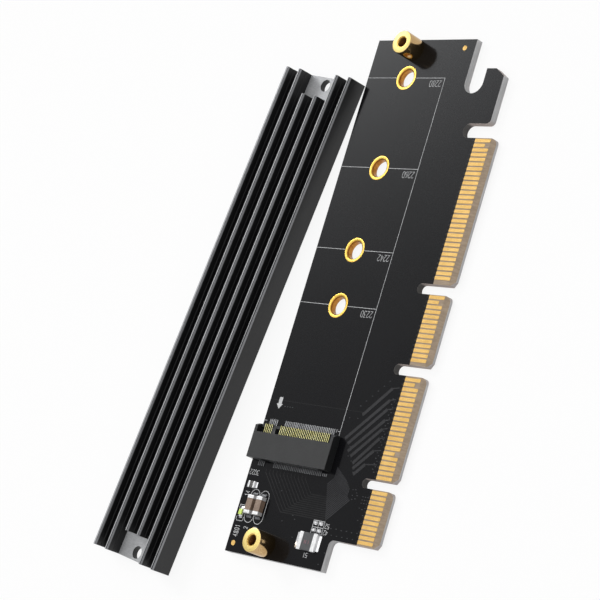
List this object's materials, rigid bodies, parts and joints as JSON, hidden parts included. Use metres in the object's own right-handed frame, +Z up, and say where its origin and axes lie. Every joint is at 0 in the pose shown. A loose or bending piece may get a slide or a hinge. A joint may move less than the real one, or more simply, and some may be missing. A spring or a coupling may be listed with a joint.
{
  "type": "nvme adapter card",
  "caption": "Expansion card that carries a solid-state drive: edge contacts, drive socket, screw holes and brass standoffs, with its finned cooler taken off and laid beside it.",
  "frame": {"origin": "middle of the plan box of the card and its cooler, on the surface that they lie on", "axes": "+Y along the card towards its hook, +X across it towards the contact edge, +Z up out of its front face"},
  "size_m": [0.077, 0.1198, 0.006],
  "materials": {
    "board": "satin",
    "gold": "bright",
    "contact_gold": "bright",
    "brass": "polished",
    "socket": "satin",
    "ceramic_brown": "matt",
    "ceramic_dark": "matt",
    "tin": "satin",
    "lamp_carrier": "satin",
    "lamp_lens": "gloss",
    "fuse_case": "matt",
    "anodised": "satin"
  },
  "bodies": {
    "root": {"back_contacts_1": "gold", "back_contacts_2": "gold", "back_contacts_3": "gold", "back_contacts_4": "gold", "capacitor_1_body": "ceramic_brown", "capacitor_1_cap_a": "tin", "capacitor_1_cap_b": "tin", "capacitor_1_solder_a": "tin", "capacitor_1_solder_b": "tin", "capacitor_2_body": "ceramic_brown", "capacitor_2_cap_a": "tin", "capacitor_2_cap_b": "tin", "capacitor_2_solder_a": "tin", "capacitor_2_solder_b": "tin", "circuit_board": "board", "front_contacts_1": "gold", "front_contacts_2": "gold", "front_contacts_3": "gold", "front_contacts_4": "gold", "fuse_body": "fuse_case", "fuse_cap_a": "tin", "fuse_cap_b": "tin", "fuse_solder_a": "tin", "fuse_solder_b": "tin", "heat_sink": "anodised", "led_body": "lamp_carrier", "led_cap_a": "tin", "led_cap_b": "tin", "led_lens": "lamp_lens", "led_solder_a": "tin", "led_solder_b": "tin", "resistor_body": "ceramic_dark", "resistor_cap_a": "tin", "resistor_cap_b": "tin", "resistor_solder_a": "tin", "resistor_solder_b": "tin", "screw_hole_ring_30": "gold", "screw_hole_ring_42": "gold", "screw_hole_ring_60": "gold", "screw_hole_ring_80": "gold", "sighting_mark_high": "gold", "sighting_mark_low": "gold", "socket_housing": "socket", "socket_lower_contacts": "contact_gold", "socket_upper_contacts": "contact_gold", "solder_dome_left_high": "tin", "solder_dome_left_low": "tin", "solder_dome_right_high": "tin", "solder_dome_right_low": "tin", "standoff_nut_high": "brass", "standoff_nut_low": "brass", "standoff_pillar_high": "brass", "standoff_pillar_low": "brass"}
  },
  "joints": []
}
